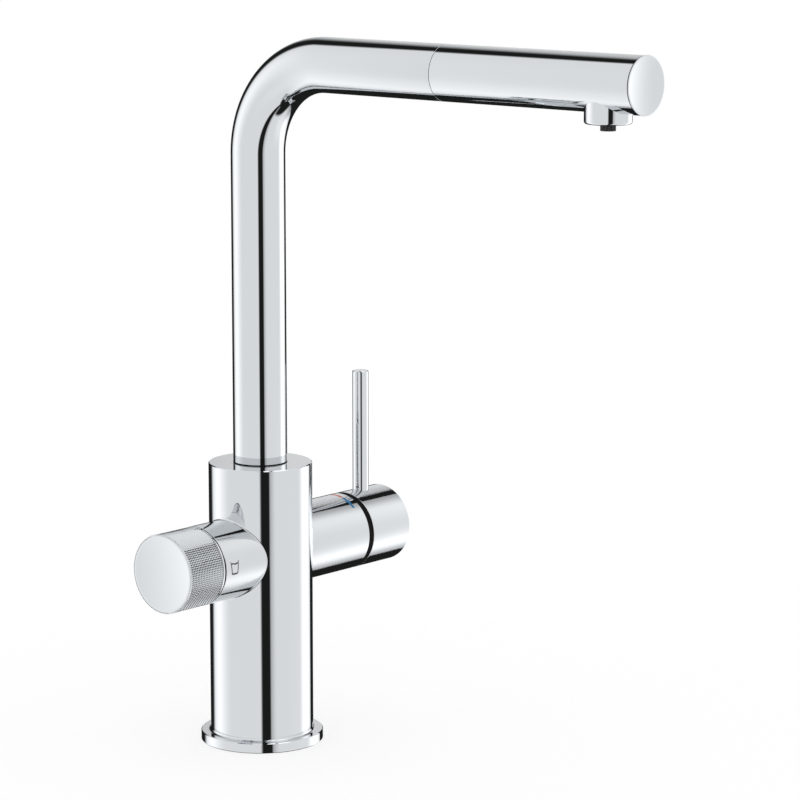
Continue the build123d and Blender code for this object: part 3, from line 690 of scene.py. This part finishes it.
def level_route(end, count):
    """The front stretch of hose or line, with rings placed to be even when it is pulled out."""
    length = end - hose_split
    shares = [even_when_pulled(n / count, length, pull_out_travel) for n in range(count + 1)]
    route = [(Vector((0, -hose_split - length * t, spout_axis_z)), Vector((0, -1, 0))) for t in shares]
    along = [n / count * (length + pull_out_travel) for n in range(count + 1)]
    return route, along


def arm_bead(name, side, size, chrome):
    """The small hollow fillet where a side arm meets the body. side is -1 on the filter side."""
    arm, body = knob_radius, body_radius
    pieces = 8
    points = []
    for n in range(FINE_STEPS):
        turn = 2 * math.pi * n / FINE_STEPS
        across, up = (arm + size) * math.cos(turn), (arm + size) * math.sin(turn)
        out = math.sqrt((body + size) ** 2 - across ** 2)
        centre = Vector((side * out, across, up))
        to_arm = Vector((0, -math.cos(turn), -math.sin(turn)))
        to_body = Vector((-side * out, -across, 0)) / (body + size)
        for i in range(pieces + 1):
            points.append(centre + size * to_arm.slerp(to_body, i / pieces))
        points.append(points[-1] + SUNK * to_body)
        depth = math.sqrt((body - SUNK) ** 2 - ((arm - SUNK) * math.cos(turn)) ** 2)
        points.append(Vector((side * depth, (arm - SUNK) * math.cos(turn), (arm - SUNK) * math.sin(turn))))
        points.append(centre + (size + SUNK) * to_arm)
    row = pieces + 4
    faces = [(n * row + i, n * row + (i + 1) % row, (n + 1) % FINE_STEPS * row + (i + 1) % row,
              (n + 1) % FINE_STEPS * row + i) for n in range(FINE_STEPS) for i in range(row)]
    new_piece(name, on_lever(points), faces, chrome, "base", sharp_from=40.0)


def foot_bead(size, chrome):
    """The small hollow fillet where the body stands on its flange."""
    outer, pieces = body_radius + size, 8
    profile = [(flange_top_z + size - size * math.sin(t), outer - size * math.cos(t))
               for t in (math.radians(90 * i / pieces) for i in range(pieces + 1))]
    profile += [(flange_top_z - SUNK, outer), (flange_top_z - SUNK, body_radius - SUNK),
                (flange_top_z + size, body_radius - SUNK)]
    turned("body_foot_bead", profile, upright, chrome, "base", steps=FINE_STEPS, sharp_from=40.0)


def make_guide_ring(black):
    """The black ring between the knob and its sleeve, with a thin black rim brought up to the surface to
    fill the seam: the rim is painted shade, a dark sheet where the seam's shadow falls.
    """
    gap = 0.04 * MM
    # The rim stops just below the knob's surface, so the seam shows as a black line: painted shade.
    rim = knob_radius - 0.06 * MM
    turned("black_guide_ring", [
        (guide_ring_start, RING_BORE), (guide_ring_end, RING_BORE), (guide_ring_end, inner_ring_radius),
        (knob_start, inner_ring_radius), (knob_start, rim),
        (sleeve_end + gap, rim), (sleeve_end + gap, inner_ring_radius),
        (guide_ring_start, inner_ring_radius)],
        on_side, black, "base", ["knob_guide_ring"])


def make_gap_ring(black):
    """The soft black ring in the gap below the lever's cap."""
    gap = 0.05 * MM
    start, end = housing_end + gap, cap_start - CAP_LIP - gap
    rim, waist, foot = knob_radius - 0.04 * MM, 0.12 * MM, inner_ring_radius + 0.3 * MM
    count, solid = 12, 5
    outside = [(start + (end - start) * i / count, rim - waist * math.sin(math.pi * i / count))
               for i in range(count + 1)]
    piece = turned("soft_gap_ring", [
        (shadow_ring_start, RING_BORE), (shadow_ring_start, inner_ring_radius),
        (start, inner_ring_radius), *outside, *((x, foot) for x, _ in outside[:solid:-1]),
        (outside[solid][0], inner_ring_radius), (outside[solid][0], RING_BORE)],
        on_lever, black, None, ["shadow_ring"])
    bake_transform(piece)


def make_cap_lip(chrome):
    """The lip that the lever's cap turns towards the gap."""
    flush = knob_radius + 0.01 * MM
    inside = flush - 0.6 * MM
    edge = 0.1 * MM
    start, end = cap_start - CAP_LIP, cap_start + 0.4 * MM
    turned("lever_cap_lip", [
        (start, inside), *corner(start + edge, flush - edge, 180, 90, edge, 4), (end, flush), (end, inside)],
        on_lever, chrome, "mixer_lever", steps=FINE_STEPS)


def make_collar(chrome):
    """The collar below the spout's end, with its rounded lower edge."""
    middle, radius = middle_and_radius("outlet_collar", 2)
    low, high = (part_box("outlet_collar")[i][2] for i in (0, 1))
    round_size, bore = 1.2 * MM, radius - 1.8 * MM

    def below_spout(points):
        return [(middle.x + x, middle.y + y, z) for x, y, z in upright(points)]

    turned("round_outlet_collar", [
        (low, bore), (low, radius - round_size),
        *corner(low + round_size, radius - round_size, 180, 90, round_size, 10),
        (high, radius), (high, bore)],
        below_spout, chrome, "pull_out_head", ["outlet_collar"])


def make_top_ring(chrome):
    """The thin chrome ring of the body's top that covers the edge of the swivel bush."""
    inside, outside = spout_radius + 0.05 * MM, spout_radius + 1.2 * MM
    top = washer_low + 0.04 * MM
    turned("body_top_ring", [(washer_low, inside), (washer_low, outside), (top, outside), (top, inside)],
           upright, chrome, "base")


def make_washer(black):
    """The black washer that shows as a dark line below the spout; its dull, near-zero black is partly
    painted shade.
    """
    bore = 11.6 * MM
    turned("black_swivel_washer", [
        (washer_low, bore), (washer_low, spout_radius), (washer_high, spout_radius), (washer_high, bore)],
        upright, black, "base", ["swivel_washer"])


def stroke(path, width):
    """The two edges of a line of even width along a path of flat points, with mitred corners."""
    left, right = [], []
    runs = [Vector((b[0] - a[0], b[1] - a[1])).normalized() for a, b in zip(path, path[1:])]
    for n, (x, y) in enumerate(path):
        nearby = runs[max(0, n - 1):n + 1]
        ahead = sum(nearby, Vector((0, 0))).normalized()
        half = width / 2 / max(0.5, ahead.dot(nearby[0]))
        left.append((x - ahead.y * half, y + ahead.x * half))
        right.append((x + ahead.y * half, y - ahead.x * half))
    return left, right


def inlay(name, strokes, middle_x, lift, material, replaced):
    """Lines laid into an arm's surface, from flat points whose x runs along the arm and y round it.

    The lift is how far round from the arm's front the points start.
    """
    top, foot = knob_radius + 0.02 * MM, knob_radius - 0.1 * MM
    points, faces = [], []
    for left, right in strokes:
        count = len(left)
        for radius in (top, foot):
            for x, y in (*left, *right):
                turn = (lift + y) / knob_radius
                points.append((middle_x + x, -radius * math.cos(turn),
                               side_axis_z + radius * math.sin(turn)))
        a = len(points) - 4 * count
        b, c, d = a + count, a + 2 * count, a + 3 * count
        for i in range(count - 1):
            faces += [(a + i, a + i + 1, b + i + 1, b + i), (b + i, b + i + 1, d + i + 1, d + i),
                      (d + i, d + i + 1, c + i + 1, c + i), (c + i, c + i + 1, a + i + 1, a + i)]
        faces += [(a, b, d, c), (a + count - 1, c + count - 1, d + count - 1, b + count - 1)]
    new_piece(name, points, faces, material, "base", replaced)


def make_glass_sign(sizes, ink):
    """The drinking-glass sign on the filter side: a glass with rounded foot and a waved water line."""
    half_height, half_top, half_foot = 3.05 * MM, 2.7 * MM, 1.95 * MM
    corner_radius = 0.8 * MM
    right_foot = [(half_foot - corner_radius * (1 - math.sin(t)),
                   corner_radius * (1 - math.cos(t)) - half_height)
                  for t in (math.radians(15 * i) for i in range(7))]
    left_foot = [(-x, y) for x, y in reversed(right_foot)]
    outline = [(-half_top, half_height), *left_foot, *right_foot, (half_top, half_height)]
    water_z, wave_height, wave_points = half_height - 1.15 * MM, 0.22 * MM, 16
    reach = half_top - 0.3 * MM
    wave = [(-reach + 2 * reach * i / wave_points,
             water_z + wave_height * math.sin(2.5 * math.pi * i / wave_points))
            for i in range(wave_points + 1)]
    strokes = [stroke(outline, sizes.sign_line), stroke(wave, sizes.sign_line)]
    inlay("glass_sign", strokes, glass_middle.x, glass_middle.z - side_axis_z, ink,
          ["glass_mark"])


def make_arc_marks(sizes, hot_ink, cold_ink):
    """The hot and cold arcs behind the lever, and the small cross stroke on the cold one."""
    split, gap = math.radians(75), math.radians(1)
    hot_sweep, cold_sweep = math.radians(21), math.radians(26)
    count = 24

    def arc(first, last):
        return stroke([(0, knob_radius * (first + (last - first) * i / count)) for i in range(count + 1)],
                      sizes.mark_line)

    inlay("hot_arc", [arc(split + gap, split + hot_sweep)], mark_x, 0, hot_ink, ["hot_mark"])
    tick = knob_radius * (split - cold_sweep / 2)
    cross = stroke([(-sizes.mark_tick / 2, tick), (sizes.mark_tick / 2, tick)], sizes.mark_line * 0.6)
    inlay("cold_arc", [arc(split - cold_sweep, split - gap), cross], mark_x, 0, cold_ink,
          ["cold_mark"])


class TAP_OT_chrome_shells(Operator):
    """Gives the visible shells of the tap their mirror chrome"""

    bl_idname = "tap.chrome_shells"
    bl_label = "Chrome shells"

    def execute(self, context):
        chrome = polished_chrome()
        paint(["base_flange", "body_shell", "filter_sleeve", "mixer_housing", "lever_cap", "lever_rod",
               "head_shell"], chrome)
        make_spout_tube(context.scene.tap_spout, chrome)
        small = context.scene.tap_small
        arm_bead("filter_arm_bead", -1, small.arm_bead, chrome)
        arm_bead("mixer_arm_bead", 1, small.arm_bead, chrome)
        foot_bead(small.foot_bead, chrome)
        make_cap_lip(chrome)
        make_collar(chrome)
        make_top_ring(chrome)
        return {"FINISHED"}


class TAP_OT_filter_knob(Operator):
    """Makes the knurled filter knob and its face"""

    bl_idname = "tap.filter_knob"
    bl_label = "Filter knob"

    def execute(self, context):
        chrome = polished_chrome("knob_chrome")
        make_knob(context.scene.tap_knob, chrome)
        make_knob_face(context.scene.tap_knob, chrome)
        return {"FINISHED"}


class TAP_OT_end_disc(Operator):
    """Makes the disc at the front end of the spout"""

    bl_idname = "tap.end_disc"
    bl_label = "End disc"

    def execute(self, context):
        make_end_disc(context.scene.tap_spout, polished_chrome("end_disc_chrome"), painted_shade_black("seal_black"))
        return {"FINISHED"}


class TAP_OT_hoses(Operator):
    """Makes the braided pull-out hose and the filtered-water line inside it"""

    bl_idname = "tap.hoses"
    bl_label = "Hoses"

    def execute(self, context):
        sizes = context.scene.tap_spout
        braid = braided_steel()
        clear = clear_tube()
        step = 1.2 * MM
        riser = spout_route(sizes.bend_radius, hose_foot_z, hose_split, step, step)
        along = [0.0]
        for (here, _), (there, _) in zip(riser, riser[1:]):
            along.append(along[-1] + (there - here).length)
        make_hose(sizes, "braided_hose_riser", "hose_riser", "spout", riser, along, 48, braid)
        make_line(sizes, "filter_line_up", "filter_line_riser", "spout",
                  spout_route(sizes.bend_radius, line_foot_z, hose_split, 2 * step, 4 * step), clear)
        front, along = level_route(hose_end, count=900)
        hose = make_hose(sizes, "braided_hose_front", "hose_front", None, front, along, 72, braid)
        front, along = level_route(line_end, count=60)
        line = make_line(sizes, "filter_line_level", "filter_line_front", None, front, clear)
        for piece, end in ((hose, hose_end), (line, line_end)):
            -end
            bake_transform(piece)
        return {"FINISHED"}


class TAP_OT_inner_metals(Operator):
    """Finishes the brass, copper, zinc and steel pieces inside the tap"""

    bl_idname = "tap.inner_metals"
    bl_label = "Inner metals"

    def execute(self, context):
        brass = context.scene.tap_colours.brass
        paint(["mounting_bush", "inlet_manifold", "waterway_core", "spout_journal"],
              turned_metal("brass_turned_upright", brass, 2))
        paint(["cartridge_nipple", "cartridge_nut", "valve_nipple", "filter_valve", "valve_nut",
               "valve_spindle"], turned_metal("brass_turned_sideways", brass, 0))
        paint(["hose_connector", "head_spigot"], turned_metal("brass_turned_along", brass, 1))
        paint(["water_risers"], turned_metal("drawn_copper", (0.78, 0.36, 0.22), 2, 0.18))
        paint(["lever_adapter"], cast_metal("cast_zinc", (0.42, 0.43, 0.45)))
        paint(["manifold_screws", "stop_screws", "clip_ring", "stop_key"],
              turned_metal("bright_steel_upright", (0.56, 0.56, 0.57), 2, 0.2))
        paint(["lever_stem", "lever_pin", "grub_screw", "knob_screw", "spindle_clip"],
              turned_metal("bright_steel_sideways", (0.56, 0.56, 0.57), 0, 0.2))
        return {"FINISHED"}


class TAP_OT_plastics_and_seals(Operator):
    """Finishes the plastic, ceramic and rubber pieces"""

    bl_idname = "tap.plastics_and_seals"
    bl_label = "Plastics and seals"

    def execute(self, context):
        # Near-zero black for the guide ring, the gap ring and the washer: partly black plastic, partly
        # painted shade.
        black = painted_shade_black("gap_black")
        make_guide_ring(black)
        make_gap_ring(black)
        make_washer(black)
        paint(["dock_bush", "aerator"], moulded_plastic("black_plastic", (0.012, 0.012, 0.013), 0.35))
        paint(["filter_nozzle"], moulded_plastic("nozzle_plastic", (0.022, 0.023, 0.025), 0.6))
        paint(["cartridge_body", "cartridge_rotor", "swivel_bush", "swivel_stop_ring", "head_waterway",
               "check_valve"], moulded_plastic("white_plastic", (0.78, 0.78, 0.75), 0.4))
        paint(["ceramic_discs"], moulded_plastic("ceramic", (0.85, 0.83, 0.78), 0.15, 0.000004))
        paint(["base_gasket", "spout_o_rings", "dock_o_ring"],
              moulded_plastic("rubber", (0.02, 0.02, 0.02), 0.6, 0.00004))
        return {"FINISHED"}


class TAP_OT_marks(Operator):
    """Makes the hot and cold arcs and the glass sign"""

    bl_idname = "tap.marks"
    bl_label = "Marks"

    def execute(self, context):
        colours = context.scene.tap_colours
        small = context.scene.tap_small
        make_arc_marks(small, printed_ink("hot_ink", colours.hot), printed_ink("cold_ink", colours.cold))
        make_glass_sign(small, printed_ink("sign_ink", colours.sign))
        return {"FINISHED"}


def smooth_step(value, start, end):
    """0 before the start, 1 after the end, and a soft rise between them."""
    t = min(1.0, max(0.0, (value - start) / (end - start)))
    return t * t * (3 - 2 * t)


def dark_card():
    """Black card that mirrors see through its soft edges."""
    shader = Shader("dark_card")
    cover = shader.value("ShaderNodeAttribute", {"attribute_name": "cover"}, output="Fac")
    clear = shader.value("ShaderNodeBsdfTransparent")
    black = shader.value("ShaderNodeEmission", None, {"Color": (0.015, 0.016, 0.015, 1.0)})
    shader.close(shader.node("ShaderNodeMixShader", None, {0: cover, 1: clear, 2: black}))
    return shader.material


def light_panel():
    """Soft light that only mirrors see, added to the white behind it."""
    shader = Shader("light_panel")
    cover = shader.value("ShaderNodeAttribute", {"attribute_name": "cover"}, output="Fac")
    clear = shader.value("ShaderNodeBsdfTransparent")
    glow = shader.value("ShaderNodeEmission", None, {"Strength": cover})
    shader.close(shader.node("ShaderNodeAddShader", None, {0: clear, 1: glow}))
    return shader.material


# Studio panels, as (name, share, distance, azimuths, elevations). Azimuths are degrees anticlockwise
# from the studio's front, elevations degrees above the horizon. Each panel fades in from the first
# to the second and out from the third to the fourth.
DARK_CARDS = (
    ("front_card", 1.0, 1.73, (-5, 0, 16.5, 19.5), (-90, -84, 78, 86)),
    ("front_card_veil", 0.55, 1.7, (9, 12, 13, 32.5), (-90, -84, 69, 80.5)),
    ("left_card", 1.0, 2.96, (-188, -163.5, -143.5, -129.5), (-84, -76, 66, 78)),
    ("right_card", 1.0, 0.92, (136, 138.5, 151, 154), (-84, -76, 66, 78)),
    ("right_card_veil", 0.5, 1.2, (108.5, 137, 153, 159.5), (-84, -76, 66, 78)),
    ("low_back_card", 1.0, 1.33, (132, 139.5, 216.5, 219), (-86, -80, -37.5, -28)),
    ("back_band", 1.0, 2.6, (144.5, 148, 205, 212), (-50, -44, 0, 5)),
    ("back_card", 0.44, 1.3, (150.5, 153.5, 154.5, 190.5), (-86, -80, 66, 78)),
    ("floor_card", 1.0, 1.9, (-181, -180, 180, 181), (-90, -89.5, -79, -74)),
    ("low_right_card", 1.0, 1.88, (8, 38, 150, 185), (-90, -88, -65, -59)),
    ("top_card", 1.0, 1.6, (-181, -180, 180, 181), (77, 81, 91, 92)),
)
LIGHT_PANELS = (
    ("left_panel", 0.56, 3.1, (-144, -107.5, -120, -71.5), (-99.5, -10, -15, 59.5)),
    ("left_glow", 0.06, 3.15, (-100, -80, -66, -36), (-60, -50, -40, -10)),
    ("right_panel", 1.25, 2.7, (90, 122, 132, 184.5), (-48, -26.5, 2, 47.5)),
    ("right_glow", 0.17, 2.75, (52, 88, 92, 116), (-60, -50, -40, -8)),
    ("top_panel", 0.6, 3.2, (-12, 16, 140, 170), (54, 62, 80, 84)),
)


def studio_panel(name, share, distance, azimuths, elevations, material, front_turn):
    """A patch of a sphere round the object that only mirrors see."""
    cell = 1.5
    lowest, highest = max(-90.0, elevations[0]), min(90.0, elevations[3])
    wide = math.ceil((azimuths[3] - azimuths[0]) / cell)
    tall = math.ceil((highest - lowest) / cell)
    points, faces, cover = [], [], []
    centre = Vector((0, 0, 0.12))
    for j in range(tall + 1):
        elevation = lowest + (highest - lowest) * j / tall
        rise = math.radians(elevation)
        upright_share = (smooth_step(elevation, *elevations[:2])
                         * (1 - smooth_step(elevation, *elevations[2:])))
        for i in range(wide + 1):
            azimuth = azimuths[0] + (azimuths[3] - azimuths[0]) * i / wide
            turn = front_turn + math.radians(azimuth)
            out = Vector((math.cos(turn) * math.cos(rise), math.sin(turn) * math.cos(rise),
                          math.sin(rise)))
            points.append(centre + out * distance)
            across_share = smooth_step(azimuth, *azimuths[:2]) * (1 - smooth_step(azimuth, *azimuths[2:]))
            cover.append(share * across_share * upright_share)
    for j in range(tall):
        faces += [(a, a + 1, a + wide + 2, a + wide + 1)
                  for a in range(j * (wide + 1), j * (wide + 1) + wide)]
    panel = mesh_object(name, points, faces, material)
    panel.data.attributes.new("cover", "FLOAT", "POINT").data.foreach_set("value", cover)
    for kind in ("camera", "diffuse", "transmission", "volume_scatter", "shadow"):
        setattr(panel, "visible_" + kind, False)


class TAP_OT_studio(Operator):
    """Sets up the white studio: camera, world, floor, dark cards and light panels"""

    bl_idname = "tap.studio"
    bl_label = "Studio"

    def execute(self, context):
        studio = context.scene.tap_studio
        self.place_camera(context, studio)
        world = bpy.data.worlds.new("white_studio")
        world.use_nodes = True
        background = world.node_tree.nodes["Background"]
        background.inputs["Color"].default_value = (1.0, 1.0, 1.0, 1.0)
        background.inputs["Strength"].default_value = 1.0
        context.scene.world = world
        self.lay_floor(studio)
        dark = dark_card()
        light = light_panel()
        for card in DARK_CARDS:
            studio_panel(*card, dark, studio.front_turn)
        for panel in LIGHT_PANELS:
            studio_panel(*panel, light, studio.front_turn)
        context.scene.view_settings.view_transform = "Standard"
        return {"FINISHED"}

    def place_camera(self, context, studio):
        data = bpy.data.cameras.new("camera")
        data.lens = studio.lens
        data.sensor_width = 36.0
        data.clip_start = 0.01
        data.clip_end = 100.0
        camera = bpy.data.objects.new("camera", data)
        context.scene.collection.objects.link(camera)
        place = Vector(studio.camera_place)
        camera.location = place
        camera.rotation_euler = (Vector(studio.camera_aim) - place).to_track_quat("-Z", "Y").to_euler()
        context.scene.camera = camera

    def lay_floor(self, studio):
        half, own_light = studio.floor_size / 2, 0.7
        shader = Shader("white_floor")
        seen = shader.value("ShaderNodeLightPath", output="Is Camera Ray")
        white = shader.value("ShaderNodeBsdfDiffuse", None, {"Color": (1.0, 1.0, 1.0, 1.0)})
        glow = shader.value("ShaderNodeEmission")
        shader.close(shader.node("ShaderNodeMixShader", None, {0: own_light * seen, 1: white, 2: glow}))
        corners = [(-half, -half, 0), (half, -half, 0), (half, half, 0), (-half, half, 0)]
        floor = mesh_object("floor", corners, [(0, 1, 2, 3)], shader.material)
        floor.visible_glossy = False


class TAP_PT_panel(Panel):
    """Lists the steps that dress the tap, and their sizes and colours"""

    bl_label = "Kitchen tap"
    bl_idname = "TAP_PT_panel"
    bl_space_type = "VIEW_3D"
    bl_region_type = "UI"
    bl_category = "Tap"

    def draw(self, context):
        for step in STEPS:
            self.layout.operator(step.bl_idname)
        for name, group in GROUPS.items():
            box = self.layout.box()
            for field in group.__annotations__:
                box.prop(getattr(context.scene, name), field)


GROUPS = {
    "tap_knob": TapKnobSizes,
    "tap_spout": TapSpoutSizes,
    "tap_small": TapSmallSizes,
    "tap_colours": TapColours,
    "tap_studio": TapStudio,
}
STEPS = (
    TAP_OT_studio,
    TAP_OT_chrome_shells,
    TAP_OT_filter_knob,
    TAP_OT_end_disc,
    TAP_OT_hoses,
    TAP_OT_inner_metals,
    TAP_OT_plastics_and_seals,
    TAP_OT_marks,
)


def register():
    for kind in (*GROUPS.values(), *STEPS, TAP_PT_panel):
        bpy.utils.register_class(kind)
    for name, kind in GROUPS.items():
        setattr(bpy.types.Scene, name, PointerProperty(type=kind))


def unregister():
    for name in GROUPS:
        delattr(bpy.types.Scene, name)
    for kind in reversed((*GROUPS.values(), *STEPS, TAP_PT_panel)):
        bpy.utils.unregister_class(kind)


def main():
    """Dresses the tap step by step."""
    register()
    bpy.ops.tap.studio()
    bpy.ops.tap.chrome_shells()
    bpy.ops.tap.filter_knob()
    bpy.ops.tap.end_disc()
    bpy.ops.tap.hoses()
    bpy.ops.tap.inner_metals()
    bpy.ops.tap.plastics_and_seals()
    bpy.ops.tap.marks()


if __name__ == "__main__":
    main()
